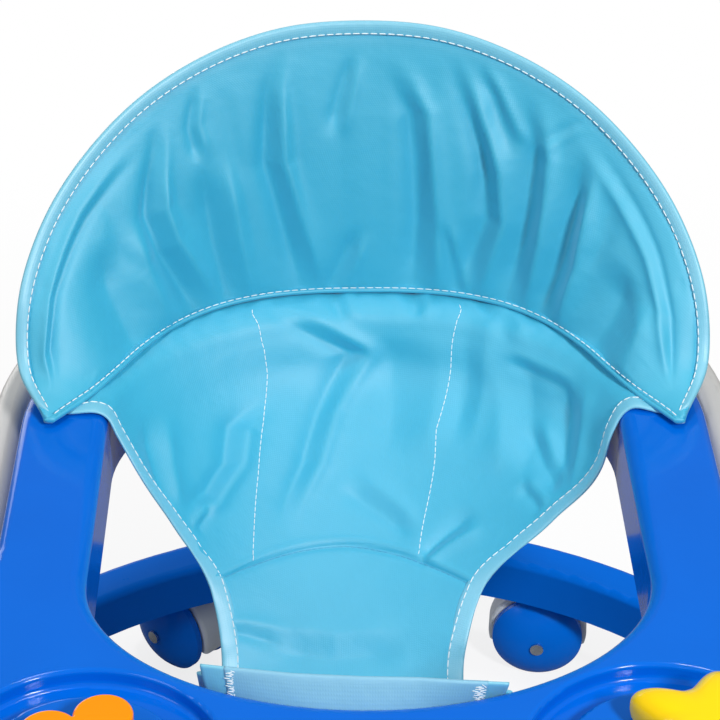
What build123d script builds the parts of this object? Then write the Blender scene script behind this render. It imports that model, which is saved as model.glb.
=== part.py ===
from build123d import *
import os
from math import cos, sin, radians, degrees, atan2, hypot, sqrt

os.makedirs("parts", exist_ok=True)

# All sizes are in millimetres. +Z is up, -Y is the tray side, the floor is z = 0
# and the origin lies under the centre of the round base.

# Tray with its seat ring
tray_top_z = 357
tray_skirt_z = 312
tray_wall = 3
arm_outer_x = 191
arm_inner_x = 143
rear_centre_y = 80
rear_outer_b = 157
rear_inner_b = 110
flare_y = -30
front_centre_y = -170
front_half_x = 230
front_b = 155
mouth_centre_y = -59
mouth_b = 104
outer_edge_round = 6
inner_edge_round = 8
core_round_step = 2
dish_centre = (134, -203)
dish_r = 66
island_r = 48
dish_depth = 9
dish_shoulder = 2.5
dish_floor_round = 3
cup_size = (92, 74)
cup_corner = 22
cup_centre_y = -262
cup_depth = 7

# Scissor legs, two bars on each side between a lower and an upper track
pivot_y = 116
leg_spread = 250
low_pivot_z = 92
high_pivot_z = 330
fold_angle = 31.5
leg_width = 18
leg_thickness = 9.5
leg_track_gap = 0.5
leg_relief = 2.5
leg_panel_end = 26
leg_panel_edge = 3.5
track_inset = 16
track_thickness = 5
track_front_y = -233
track_rear_y = 128
track_top_z = 344
flange_half = 11.5
flange_front_gap = 12
flange_rear_gap = 32
flange_thickness = 3.5
pin_r = 4
pin_end_gap = 0.2
collar_r = 8
collar_gap = 0.4
notch_r = 5.5
notch_pitch = 24
notch_rise = 2.2
slot_clearance = 0.1
cap_r = 7.5
cap_thickness = 2.5
cap_gap = 0.35
screw_offset = 7.5
screw_ys = (84, -20, -112)
screw_r = 2
screw_head_r = 4
screw_head = 2.2
base_screw_length = 8
tray_screw_length = 9
screw_boss_r = 5
track_centre_x = arm_outer_x - track_inset
track_x = (track_centre_x - track_thickness / 2, track_centre_x + track_thickness / 2)
leg_gap_inner = (track_x[0] - leg_track_gap - leg_thickness, track_x[0] - leg_track_gap)
leg_gap_outer = (track_x[1] + leg_track_gap, track_x[1] + leg_track_gap + leg_thickness)
flange_x = (track_centre_x - flange_half, track_centre_x + flange_half)
screw_xs = (track_centre_x - screw_offset, track_centre_x + screw_offset)
leg_rise = high_pivot_z - low_pivot_z
leg_length = hypot(leg_spread, leg_rise)
rest_angle = degrees(atan2(leg_rise, leg_spread))
slide_rest_y = pivot_y - leg_spread
slide_fold_y = pivot_y - leg_length * cos(radians(rest_angle - fold_angle))

# Base ring and its two side decks
base_outer_r = 345
base_width = 49
base_crest_inset = 23
base_top_z = 103
base_rim_z = 70
base_lip = 8
base_wall = 3
base_edge_round = 5
base_inner_r = base_outer_r - base_width
base_crest_r = base_outer_r - base_crest_inset
deck_edge_gap = 19
deck_inner_x = track_centre_x - deck_edge_gap
deck_front_y = -228
deck_rear_y = 150
deck_top_z = 76
deck_thickness = 4
deck_rib_depth = 4
deck_slot_length = 66
deck_slot_width = 16
deck_slot_pitch = 46
deck_slot_start_y = -138
deck_slot_count = 6
pad_seat_half = 16
pad_seat_height = 7
pad_half = 15
pad_thickness = 8
pad_inset = 7
pad_corner = 5

# Casters
casters_per_side = 4
caster_first_angle = 21
caster_circle_r = base_crest_r
caster_trail = 12
caster_turn = [354, 205, 250, 20, 180, 335, 120, 135]
stem_r = 5
stem_top_z = 89
boss_r = 11
boss_cover = 1
collar_stem_r = 9
collar_stem_gap = 0.6
hood_r = 34.5
hood_half = 10
hood_round = 3
hood_cut_z = 23
wheel_r = 31.5
wheel_inner = 10.8
wheel_tread = 5
wheel_outer = 28
wheel_nose = 4
wheel_bulge = 3.4
axle_r = 3
axle_head_r = 4.6
axle_head = 1.6
axle_head_gap = 0.3
run_clearance = 0.05

# Push bar behind the seat
bar_arm_gap = 3
bar_bend_y = 115
bar_end_y = -26
bar_z = 328
bar_width = 18
bar_height = 24
bar_corner = 7
bar_wall = 2.5
bar_mount_y = (-8, 52)
bar_lug_r = 5
bar_bolt_r = 2.5
bar_bolt_head = 3
bar_nut = 3.5
bar_bolt_tail = 5
bar_plug = 5
bar_plug_round = 3
bar_plug_tail = 12
bar_plug_gap = 0.1
bar_half_x = arm_outer_x + bar_arm_gap + bar_width / 2

# Toys on the tray
flower_centre = (-129, -206)
flower_petal_ring = 22.5
flower_petal_r = 14
flower_core_r = 16
flower_thickness = 12
flower_first_angle = 78
flower_round = 2
star_centre = (152, -197)
star_tip_ring = 30
star_tip_r = 9.5
star_core_r = 21
star_root_half = 17
star_thickness = 20
star_first_angle = 73.5
star_round = 4
spindle_r = 5
toy_lift = 2

# Backrest cushion and board, and the fabric seat
seam_a = (arm_outer_x + arm_inner_x) / 2
seam_b = (rear_outer_b + rear_inner_b) / 2
cushion_angles = [-85, -78, -67, -53, -36, -18, 0, 18, 36, 53, 67, 78, 85]
cushion_span = 88
cushion_height = 172
cushion_foot = 13.7
cushion_edge_half = 7
cushion_crown = 9
board_thickness = 3
soft_gap = 0.6
sheet = 2.4
sling_sections = [
    (tray_top_z, rear_centre_y, 139.5, 106.5),
    (328, 72, 127, 108),
    (296, 65, 112, 77),
    (262, 52, 90, 40),
    (238, 30, 81, 18),
]
strip_path = [(46, 236), (18, 218), (-10, 211), (-38, 217), (-76, 249), (-114, 302), (-147, 362)]
strip_half_x = 75
strip_sheet = 2.4


def save(shape, name):
    shape.label = name
    export_step(shape, f"parts/{name}.step")


def mirrored(shape):
    return mirror(shape, about=Plane.YZ)


def block(x0, x1, y0, y1, z0, z1):
    """Box between two corners."""
    size = Box(x1 - x0, y1 - y0, z1 - z0, align=(Align.MIN, Align.MIN, Align.MIN))
    return Pos(x0, y0, z0) * size


def post(x, y, z0, z1, r):
    """Upright cylinder from z0 to z1."""
    return Pos(x, y, z0) * Cylinder(r, z1 - z0, align=(Align.CENTER, Align.CENTER, Align.MIN))


def cross_pin(x0, x1, y, z, r):
    """Cylinder along X from x0 to x1."""
    return extrude(Plane.YZ.offset(x0) * Pos(y, z) * Circle(r), x1 - x0)


def side_slot(x0, x1, y0, y1, z, height):
    """Round-ended slot along Y, cut through from x0 to x1."""
    length = abs(y1 - y0)
    outline = Pos((y0 + y1) / 2, z) * SlotCenterToCenter(length, height)
    return extrude(Plane.YZ.offset(x0) * outline, x1 - x0)


def caster_angle(i):
    """Angle of caster i from +X: four down the right side from the back, four up the left side."""
    step = (180 - 2 * caster_first_angle) / (casters_per_side - 1)
    if i < casters_per_side:
        return radians(90 - caster_first_angle - step * i)
    return radians(180) - caster_angle(caster_count - 1 - i)


caster_count = 2 * casters_per_side


def caster_place(i):
    angle = caster_angle(i)
    x = caster_circle_r * cos(angle)
    y = caster_circle_r * sin(angle)
    return Pos(x, y, 0) * Rot(0, 0, caster_turn[i])


# Base ring: an open-bottomed channel turned about Z
def base_profile():
    lip_z = base_rim_z + base_lip
    slope = base_wall * 1.25
    return [
        (base_inner_r, base_rim_z),
        (base_inner_r, base_top_z),
        (base_crest_r, base_top_z),
        (base_outer_r, lip_z),
        (base_outer_r, base_rim_z),
        (base_outer_r - base_wall, base_rim_z),
        (base_outer_r - base_wall, lip_z - 1),
        (base_crest_r - slope / 3, base_top_z - base_wall),
        (base_inner_r + base_wall, base_top_z - base_wall),
        (base_inner_r + base_wall, base_rim_z),
    ]


def turned(points):
    face = Plane.XZ * make_face(Polyline(*points, close=True))
    return revolve(face, Axis.Z)


profile = base_profile()
base_ring = turned(profile)
envelope = turned(profile[:5])
crest = base_ring.edges().filter_by(GeomType.CIRCLE).filter_by(
    lambda e: abs(e.center().Z - base_top_z) < 0.01)
base_ring = fillet(crest, base_edge_round)
boss_keep = envelope & post(0, 0, 0, base_top_z - boss_cover, base_outer_r + base_wall)

pad_angles = []
for i in range(casters_per_side - 1):
    between = (caster_angle(i) + caster_angle(i + 1)) / 2
    pad_angles += [between, radians(180) - between]
pad_angles += [radians(90), radians(-90)]
for i in range(caster_count):
    x = caster_circle_r * cos(caster_angle(i))
    y = caster_circle_r * sin(caster_angle(i))
    base_ring += boss_keep & post(x, y, base_rim_z, base_top_z - boss_cover, boss_r)
for angle in pad_angles:
    seat = block(base_inner_r + base_wall / 2, base_outer_r - base_wall / 2, -pad_seat_half, pad_seat_half,
                 base_rim_z, base_rim_z + pad_seat_height)
    base_ring += Rot(0, 0, degrees(angle)) * seat

deck = block(deck_inner_x, base_outer_r, deck_front_y, deck_rear_y,
             deck_top_z - deck_thickness, deck_top_z)
deck += block(deck_inner_x, deck_inner_x + base_wall, deck_front_y, deck_rear_y,
              deck_top_z - deck_thickness - deck_rib_depth, deck_top_z)
deck_slot_x = (deck_inner_x + base_inner_r) / 2
slot_ys = [deck_slot_start_y + deck_slot_pitch * k for k in range(deck_slot_count)]
for y in slot_ys:
    rib_y = y - deck_slot_pitch / 2
    deck += block(deck_inner_x, base_outer_r, rib_y - base_wall / 2, rib_y + base_wall / 2,
                  deck_top_z - deck_thickness - deck_rib_depth, deck_top_z - deck_thickness)
for y in slot_ys:
    hole = extrude(SlotOverall(deck_slot_length, deck_slot_width), deck_thickness)
    hole = Pos(deck_slot_x, y, deck_top_z - deck_thickness) * hole
    deck -= hole
deck &= post(0, 0, 0, base_top_z, base_inner_r + base_wall / 2)
base_ring += deck
base_ring += mirrored(deck)
for i in range(caster_count):
    x = caster_circle_r * cos(caster_angle(i))
    y = caster_circle_r * sin(caster_angle(i))
    base_ring -= post(x, y, base_rim_z - 1, stem_top_z + 1, stem_r + run_clearance)

for x in screw_xs:
    for y in screw_ys:
        for side in (1, -1):
            base_ring -= post(side * x, y, deck_top_z - deck_thickness - 1, deck_top_z + 1, screw_r)
save(base_ring, "base_ring")

# Rubber stopping pads under the ring
pads = []
for angle in pad_angles:
    pad = block(base_inner_r + pad_inset, base_outer_r - pad_inset, -pad_half, pad_half,
                base_rim_z - pad_thickness, base_rim_z)
    pad = fillet(pad.edges().filter_by(Axis.Z), pad_corner)
    pads.append(Rot(0, 0, degrees(angle)) * pad)
save(Compound(children=pads), "stop_pads")


# Casters: hood with stem, steel axle, and a pair of domed wheels
def caster_hood():
    disc = extrude(Plane.XZ * Pos(caster_trail, wheel_r) * Circle(hood_r), hood_half, both=True)
    reach = 2 * hood_r
    disc &= block(-reach, reach, -reach, reach, hood_cut_z, reach)
    rims = disc.edges().filter_by(GeomType.CIRCLE)
    disc = fillet(rims, hood_round)
    stem_foot_z = wheel_r + hood_r - caster_trail
    disc += post(0, 0, stem_foot_z, base_rim_z - collar_stem_gap, collar_stem_r)
    disc += post(0, 0, stem_foot_z, stem_top_z, stem_r)
    bore = extrude(Plane.XZ * Pos(caster_trail, wheel_r) * Circle(axle_r), wheel_outer, both=True)
    return disc - bore


def caster_axle():
    shaft = extrude(Plane.XZ * Pos(caster_trail, wheel_r) * Circle(axle_r), wheel_outer + axle_head, both=True)
    ends = []
    for side in (1, -1):
        face = Plane.XZ.offset(side * (wheel_outer + axle_head_gap))
        head = face * Pos(caster_trail, wheel_r) * Circle(axle_head_r)
        ends.append(extrude(head, side * axle_head))
    return shaft + ends[0] + ends[1]


def caster_wheel(side):
    """Domed wheel: flat tread next to the hood, a bowl outside it."""
    bore = axle_r + run_clearance
    tread_end = (wheel_tread + wheel_inner, wheel_r)
    nose = (wheel_outer, bore + wheel_nose)
    bowl = ThreePointArc(tread_end, (wheel_outer - wheel_bulge, wheel_r * 0.62), nose)
    lines = [
        Line((wheel_inner, bore), (wheel_inner, wheel_r - 1)),
        Line((wheel_inner, wheel_r - 1), (wheel_inner + 1, wheel_r)),
        Line((wheel_inner + 1, wheel_r), tread_end),
        bowl,
        Line(nose, (wheel_outer, bore)),
        Line((wheel_outer, bore), (wheel_inner, bore)),
    ]
    half = revolve(make_face(lines), Axis.X)
    return Pos(caster_trail, 0, wheel_r) * Rot(0, 0, 90 * side) * half


hood_shape = caster_hood()
axle_shape = caster_axle()
wheel_shapes = [caster_wheel(1), caster_wheel(-1)]
for i in range(caster_count):
    place = caster_place(i)
    save(place * hood_shape, f"caster_hood_{i + 1}")
    save(place * axle_shape, f"caster_axle_{i + 1}")
    save(Compound(children=[place * w for w in wheel_shapes]), f"caster_wheels_{i + 1}")


# Lower and upper tracks of the scissor legs
def track(z_pivot, z_foot, stub_x0, stub_x1):
    """Upright plate with a foot flange, one pivot stub and one slide slot."""
    z_tip = z_pivot + (z_pivot - z_foot) * 0.8
    low, high = min(z_foot, z_tip), max(z_foot, z_tip)
    plate = block(*track_x, track_front_y, track_rear_y, low, high)
    step = flange_thickness if z_foot < z_pivot else -flange_thickness
    low, high = min(z_foot, z_foot + step), max(z_foot, z_foot + step)
    plate += block(*flange_x, track_front_y + flange_front_gap, track_rear_y - flange_rear_gap, low, high)
    plate -= side_slot(track_x[0] - 1, track_x[1] + 1, slide_fold_y - 1, slide_rest_y + 1, z_pivot,
                       2 * (pin_r + slot_clearance))
    plate += cross_pin(stub_x0, stub_x1, pivot_y, z_pivot, pin_r)
    for x in screw_xs:
        for y in screw_ys:
            plate -= post(x, y, low - 1, high + 1, screw_r)
    return plate


low_track = track(low_pivot_z, deck_top_z, track_x[1] - 1, leg_gap_outer[1] + cap_gap)
high_track = track(high_pivot_z, track_top_z, leg_gap_inner[0] - cap_gap, track_x[0] + 1)
for k in range(3):
    notch_y = slide_rest_y - notch_pitch * k
    high_track -= cross_pin(track_x[0] - 1, track_x[1] + 1, notch_y, high_pivot_z + notch_rise, notch_r)
save(low_track, "base_track_right")
save(mirrored(low_track), "base_track_left")
save(high_track, "tray_track_right")
save(mirrored(high_track), "tray_track_left")


def pan_screw(x, y, z, length):
    """Screw with its head above z when length > 0, below z when length < 0."""
    up = 1 if length > 0 else -1
    head_end = z + up * screw_head
    shank_end = z - length
    head = post(x, y, min(z, head_end), max(z, head_end), screw_head_r)
    return head + post(x, y, min(z, shank_end), max(z, shank_end), screw_r)


base_screws = []
tray_screws = []
for x in screw_xs:
    for y in screw_ys:
        for side in (1, -1):
            base_screws.append(pan_screw(side * x, y, deck_top_z + flange_thickness, base_screw_length))
            tray_screws.append(pan_screw(side * x, y, track_top_z - flange_thickness, -tray_screw_length))
save(Compound(children=base_screws), "base_track_screws")
save(Compound(children=tray_screws), "tray_track_screws")


# Scissor legs
def leg_bar(low_y, high_y, x_range, relief):
    """Round-ended bar with shallow panels on both faces."""
    x0, x1 = x_range
    mid_y = (low_y + high_y) / 2
    mid_z = (low_pivot_z + high_pivot_z) / 2
    turn = degrees(atan2(leg_rise, high_y - low_y))
    plane = Plane.YZ.offset(x0)
    place = Pos(mid_y, mid_z) * Rot(0, 0, turn)
    bar = extrude(plane * place * SlotCenterToCenter(leg_length, leg_width), x1 - x0)
    panel_length = leg_length / 2 - 2 * leg_panel_end
    for side in (1, -1):
        panel = place * Pos(side * leg_length / 4, 0) * SlotOverall(panel_length, leg_width - 2 * leg_panel_edge)
        bar -= extrude(plane * panel, relief)
        bar -= extrude(Plane.YZ.offset(x1 - relief) * panel, relief)
    return bar


cross_y = pivot_y - leg_spread / 2
cross_z = (low_pivot_z + high_pivot_z) / 2
hole_r = pin_r + run_clearance
outer_leg = leg_bar(pivot_y, slide_rest_y, leg_gap_outer, leg_relief)
outer_leg -= cross_pin(leg_gap_outer[0] - 1, leg_gap_outer[1] + 1, pivot_y, low_pivot_z, hole_r)
outer_leg += cross_pin(track_x[0] - pin_end_gap, leg_gap_outer[0] + 1, slide_rest_y, high_pivot_z, pin_r)
outer_leg += cross_pin(leg_gap_inner[1] + collar_gap, leg_gap_outer[0] + 1, cross_y, cross_z, collar_r)
outer_leg += cross_pin(leg_gap_inner[0] - cap_gap, leg_gap_outer[0] + 1, cross_y, cross_z, pin_r)
inner_leg = leg_bar(slide_rest_y, pivot_y, leg_gap_inner, leg_relief)
inner_leg -= cross_pin(leg_gap_inner[0] - 1, leg_gap_inner[1] + 1, pivot_y, high_pivot_z, hole_r)
inner_leg -= cross_pin(leg_gap_inner[0] - 1, leg_gap_inner[1] + 1, cross_y, cross_z, hole_r)
inner_leg += cross_pin(leg_gap_inner[1] - 1, track_x[1] + pin_end_gap, slide_rest_y, low_pivot_z, pin_r)
save(outer_leg, "leg_outer_right")
save(mirrored(outer_leg), "leg_outer_left")
save(inner_leg, "leg_inner_right")
save(mirrored(inner_leg), "leg_inner_left")


def cap_pair(x_face, out, y, z):
    """Push-on retaining caps on the right and left pivot."""
    cap = cross_pin(min(x_face, x_face + out), max(x_face, x_face + out), y, z, cap_r)
    return Compound(children=[cap, mirrored(cap)])


save(cap_pair(leg_gap_outer[1] + cap_gap, cap_thickness, pivot_y, low_pivot_z), "base_pivot_caps")
save(cap_pair(leg_gap_inner[0] - cap_gap, -cap_thickness, cross_y, cross_z), "leg_pivot_caps")
save(cap_pair(leg_gap_inner[0] - cap_gap, -cap_thickness, pivot_y, high_pivot_z), "tray_pivot_caps")


# Tray moulding
def tray_outline(inset):
    """Outside of the tray seen from above, drawn in by inset."""
    arm = arm_outer_x - inset
    front = front_half_x - inset
    down = (0, -1)
    up = (0, 1)
    return make_face([
        EllipticalCenterArc((0, rear_centre_y), arm, rear_outer_b - inset, start_angle=0, arc_size=180),
        Line((-arm, rear_centre_y), (-arm, flare_y)),
        Spline((-arm, flare_y), (-front, front_centre_y), tangents=(down, down)),
        EllipticalCenterArc((0, front_centre_y), front, front_b - inset, start_angle=180, arc_size=180),
        Spline((front, front_centre_y), (arm, flare_y), tangents=(up, up)),
        Line((arm, flare_y), (arm, rear_centre_y)),
    ])


def mouth_outline(grow):
    """Seat opening seen from above, grown by grow."""
    arm = arm_inner_x + grow
    return make_face([
        EllipticalCenterArc((0, rear_centre_y), arm, rear_inner_b + grow, start_angle=0, arc_size=180),
        Line((-arm, rear_centre_y), (-arm, mouth_centre_y)),
        EllipticalCenterArc((0, mouth_centre_y), arm, mouth_b + grow, start_angle=180, arc_size=180),
        Line((arm, mouth_centre_y), (arm, rear_centre_y)),
    ])


def tray_body(inset, top_z, outer_round, inner_round):
    """Rounded block of the tray, or its hollow when inset is the wall."""
    height = top_z - tray_skirt_z
    outer = Pos(0, 0, tray_skirt_z) * extrude(tray_outline(inset), height)
    hole = Pos(0, 0, tray_skirt_z) * extrude(mouth_outline(inset), height)
    top_edges = outer.faces().sort_by(Axis.Z)[-1].edges()
    outer = fillet(top_edges, outer_round)
    body = outer - hole
    rim = body.faces().sort_by(Axis.Z)[-1].inner_wires()[0].edges()
    return fillet(rim, inner_round)


def groove(shoulder, bottom_z):
    """Ring-shaped groove round each toy island, with rounded shoulders and floor."""
    top = tray_top_z
    turn = shoulder * (1 - sqrt(0.5))
    bend = dish_floor_round
    floor = bend * (1 - sqrt(0.5))
    lines = [
        Line((island_r - shoulder, top + 1), (island_r - shoulder, top)),
        ThreePointArc((island_r - shoulder, top), (island_r - turn, top - turn), (island_r, top - shoulder)),
        Line((island_r, top - shoulder), (island_r, bottom_z + bend)),
        ThreePointArc((island_r, bottom_z + bend), (island_r + floor, bottom_z + floor), (island_r + bend, bottom_z)),
        Line((island_r + bend, bottom_z), (dish_r - bend, bottom_z)),
        ThreePointArc((dish_r - bend, bottom_z), (dish_r - floor, bottom_z + floor), (dish_r, bottom_z + bend)),
        Line((dish_r, bottom_z + bend), (dish_r, top - shoulder)),
        ThreePointArc((dish_r, top - shoulder), (dish_r + turn, top - turn), (dish_r + shoulder, top)),
        Line((dish_r + shoulder, top), (dish_r + shoulder, top + 1)),
        Line((dish_r + shoulder, top + 1), (island_r - shoulder, top + 1)),
    ]
    ring = revolve(Plane.XZ * make_face(lines), Axis.Z)
    right = Pos(*dish_centre, 0) * ring
    left = Pos(-dish_centre[0], dish_centre[1], 0) * ring
    return [right, left]


def moat(grow, bottom_z):
    """Material left under each groove."""
    solid = None
    for side in (1, -1):
        x, y = side * dish_centre[0], dish_centre[1]
        ring = post(x, y, bottom_z, tray_top_z, dish_r + grow)
        ring -= post(x, y, bottom_z, tray_top_z, island_r - grow)
        solid = ring if solid is None else solid + ring
    return solid


def cup(grow, bottom_z):
    """Shallow snack hollow in the middle of the tray."""
    outline = RectangleRounded(cup_size[0] + 2 * grow, cup_size[1] + 2 * grow, cup_corner)
    return Pos(0, cup_centre_y, bottom_z) * extrude(outline, tray_top_z - bottom_z)


tray = tray_body(0, tray_top_z, outer_edge_round, inner_edge_round)
core = tray_body(tray_wall, tray_top_z - tray_wall, outer_edge_round - core_round_step,
                 inner_edge_round - core_round_step)
core -= moat(tray_wall, tray_top_z - dish_depth - tray_wall)
core -= cup(tray_wall, tray_top_z - cup_depth - tray_wall)
tray = tray - core - cup(0, tray_top_z - cup_depth)
for ring in groove(dish_shoulder, tray_top_z - dish_depth):
    tray -= ring
for x in screw_xs:
    for y in screw_ys:
        for side in (1, -1):
            boss = post(side * x, y, track_top_z, tray_top_z - tray_wall / 2, screw_boss_r)
            hole_depth = tray_screw_length - flange_thickness + slot_clearance
            tray += boss - post(side * x, y, track_top_z, track_top_z + hole_depth, screw_r)
for y in bar_mount_y:
    for side in (1, -1):
        inner = arm_outer_x - 2
        outer = bar_half_x - bar_width / 2
        lug = cross_pin(inner, outer, y, bar_z, bar_lug_r)
        hole = cross_pin(inner - 2 * tray_wall, outer + 1, y, bar_z, bar_bolt_r)
        tray += lug if side > 0 else mirrored(lug)
        tray -= hole if side > 0 else mirrored(hole)
for toy in (flower_centre, star_centre):
    tray -= post(*toy, tray_top_z - 2, tray_top_z + 1, spindle_r)
save(tray, "tray_shell")


# Push bar: rounded rectangular tube bent round the back
def bar_path(end_y):
    bend = ThreePointArc((bar_half_x, bar_bend_y), (0, bar_bend_y + bar_half_x), (-bar_half_x, bar_bend_y))
    right = Line((bar_half_x, end_y), (bar_half_x, bar_bend_y))
    left = Line((-bar_half_x, bar_bend_y), (-bar_half_x, end_y))
    return Pos(0, 0, bar_z) * Wire([right, bend, left])


def bar_tube(inset):
    section = RectangleRounded(bar_width - 2 * inset, bar_height - 2 * inset, bar_corner - inset)
    plane = Plane(origin=(bar_half_x, bar_end_y, bar_z), x_dir=(1, 0, 0), z_dir=(0, 1, 0))
    return sweep(plane * section, path=bar_path(bar_end_y))


push_bar = bar_tube(0) - bar_tube(bar_wall)
bolts = []
bolt_nut_x = arm_outer_x - tray_wall
bolt_head_x = bar_half_x + bar_width / 2
for y in bar_mount_y:
    bolt = cross_pin(bolt_nut_x - bar_bolt_tail, bolt_head_x, y, bar_z, bar_bolt_r)
    push_bar -= bolt
    push_bar -= mirrored(bolt)
    bolt += cross_pin(bolt_head_x, bolt_head_x + bar_bolt_head, y, bar_z, bar_lug_r + cap_gap)
    nut = Plane.YZ.offset(bolt_nut_x - bar_nut) * Pos(y, bar_z) * RegularPolygon(bar_lug_r, 6)
    bolt += extrude(nut, bar_nut)
    bolts += [bolt, mirrored(bolt)]
save(push_bar, "push_bar")
save(Compound(children=bolts), "push_bar_bolts")

plugs = []
for side in (1, -1):
    plane = Plane(origin=(side * bar_half_x, bar_end_y, bar_z), x_dir=(1, 0, 0), z_dir=(0, -1, 0))
    plug = extrude(plane * RectangleRounded(bar_width, bar_height, bar_corner), bar_plug)
    plug = fillet(plug.faces().sort_by(Axis.Y)[0].edges(), bar_plug_round)
    inset = bar_wall + bar_plug_gap
    inner = RectangleRounded(bar_width - 2 * inset, bar_height - 2 * inset, bar_corner - bar_wall)
    plug += extrude(plane * inner, -bar_plug_tail)
    plugs.append(plug)
save(Compound(children=plugs), "push_bar_plugs")


# Toys: a flat flower and a puffy star, each turning on a spindle
def spindle(centre, top_z):
    return post(*centre, tray_top_z - 2, top_z, spindle_r)


def flower():
    outline = Circle(flower_core_r)
    for k in range(5):
        angle = radians(72 * k + flower_first_angle)
        petal = Circle(flower_petal_r)
        outline += Pos(flower_petal_ring * cos(angle), flower_petal_ring * sin(angle)) * petal
    body = extrude(outline, flower_thickness)
    return fillet(body.faces().sort_by(Axis.Z)[-1].edges(), flower_round)


def star():
    outline = Circle(star_core_r)
    for k in range(5):
        angle = 72 * k + star_first_angle
        arm = Polyline((0, -star_root_half), (star_tip_ring, -star_tip_r), (star_tip_ring, star_tip_r),
                       (0, star_root_half), close=True)
        tip = make_face(arm) + Pos(star_tip_ring, 0) * Circle(star_tip_r)
        outline += Rot(0, 0, angle) * tip
    body = extrude(outline, star_thickness)
    return fillet(body.faces().sort_by(Axis.Z)[-1].edges(), star_round)


toy_z = tray_top_z + toy_lift
flower_spindle = spindle(flower_centre, toy_z + flower_thickness - 4)
star_spindle = spindle(star_centre, toy_z + star_thickness - 6)
flower_body = Pos(*flower_centre, toy_z) * flower()
star_body = Pos(*star_centre, toy_z) * star()
toy_bore = spindle_r + run_clearance
flower_body -= post(*flower_centre, toy_z - 1, toy_z + flower_thickness - 3, toy_bore)
star_body -= post(*star_centre, toy_z - 1, toy_z + star_thickness - 5, toy_bore)
save(Compound(children=[flower_spindle, star_spindle]), "toy_spindles")
save(flower_body, "flower_spinner")
save(star_body, "star_spinner")


# Backrest: a cushion in front of a board, both lofted round the back of the ring
def edge_out(angle):
    """How far the upper edge leans out past the seam line."""
    return 9 + 22 * sin(radians(angle)) ** 2


def edge_rise(angle):
    """Height of the upper edge above the ring."""
    part = 1 - (angle / cushion_span) ** 2
    return cushion_height * part ** 0.6


def back_plane(angle):
    """Upright plane across the backrest at one angle, local x outwards, local y up."""
    turn = radians(angle)
    origin = (seam_a * sin(turn), rear_centre_y + seam_b * cos(turn), tray_top_z)
    outward = Vector(sin(turn), cos(turn), 0)
    return Plane(origin=origin, x_dir=outward, z_dir=outward.cross(Vector(0, 0, 1)))


def cushion_section(angle):
    lean = edge_out(angle)
    rise = edge_rise(angle)
    half = cushion_edge_half
    foot = (0, soft_gap)
    front = (lean - half, rise - half)
    back = (lean + half, rise - half)
    heel = (cushion_foot, soft_gap)
    middle = ((foot[0] + front[0]) / 2 - cushion_crown * min(1, rise / 90), (foot[1] + front[1]) / 2)
    return make_face([
        ThreePointArc(foot, middle, front),
        ThreePointArc(front, (lean, rise), back),
        Line(back, heel),
        Line(heel, foot),
    ])


def board_section(angle):
    lean = edge_out(angle) + cushion_edge_half + 0.4
    rise = edge_rise(angle) - cushion_edge_half - 3
    foot = cushion_foot + 0.4
    return make_face(Polyline((foot, 0), (lean, rise), (lean + board_thickness, rise),
                              (foot + board_thickness, 0), close=True))


cushion = loft([back_plane(a) * cushion_section(a) for a in cushion_angles])
save(cushion, "backrest_cushion")
board = loft([back_plane(a) * board_section(a) for a in cushion_angles])
save(board, "backrest_board")


# Fabric seat: a bucket behind, and a strip that runs between the legs to the front
def band(z, centre_y, a, b):
    """Crescent of fabric thickness at one height."""
    outer = EllipticalCenterArc((0, centre_y), a, b, start_angle=0, arc_size=180)
    inner = EllipticalCenterArc((0, centre_y), a - sheet, b - sheet, start_angle=0, arc_size=180)
    left = Line((-a, centre_y), (-a + sheet, centre_y))
    right = Line((a - sheet, centre_y), (a, centre_y))
    return Pos(0, 0, z) * make_face([outer, left, inner, right])


bucket = loft([band(*s) for s in sling_sections])
save(bucket, "seat_bucket")


def half_oval(a, b):
    """Rear half of an oval about the middle of the ring."""
    return make_face([
        EllipticalCenterArc((0, rear_centre_y), a, b, start_angle=0, arc_size=180),
        Line((-a, rear_centre_y), (a, rear_centre_y)),
    ])


hem_a, hem_b = sling_sections[0][2] - sheet, sling_sections[0][3] - sheet
hem = half_oval(seam_a - 1, seam_b - 1) - half_oval(hem_a, hem_b)
save(Pos(0, 0, tray_top_z) * extrude(hem, sheet), "seat_hem")


def strip_profile():
    """Side view of the strip: its path thickened downwards."""
    under = []
    for k, (y, z) in enumerate(strip_path):
        y0, z0 = strip_path[max(k - 1, 0)]
        y1, z1 = strip_path[min(k + 1, len(strip_path) - 1)]
        length = hypot(y1 - y0, z1 - z0)
        under.append((y - (z1 - z0) / length * strip_sheet, z + (y1 - y0) / length * strip_sheet))
    upper = Spline(*strip_path)
    lower = Spline(*under)
    return make_face([
        upper,
        Line(strip_path[-1], under[-1]),
        lower,
        Line(under[0], strip_path[0]),
    ])


strip = extrude(Plane.YZ * strip_profile(), strip_half_x, both=True)
save(strip, "seat_strip")
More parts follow.
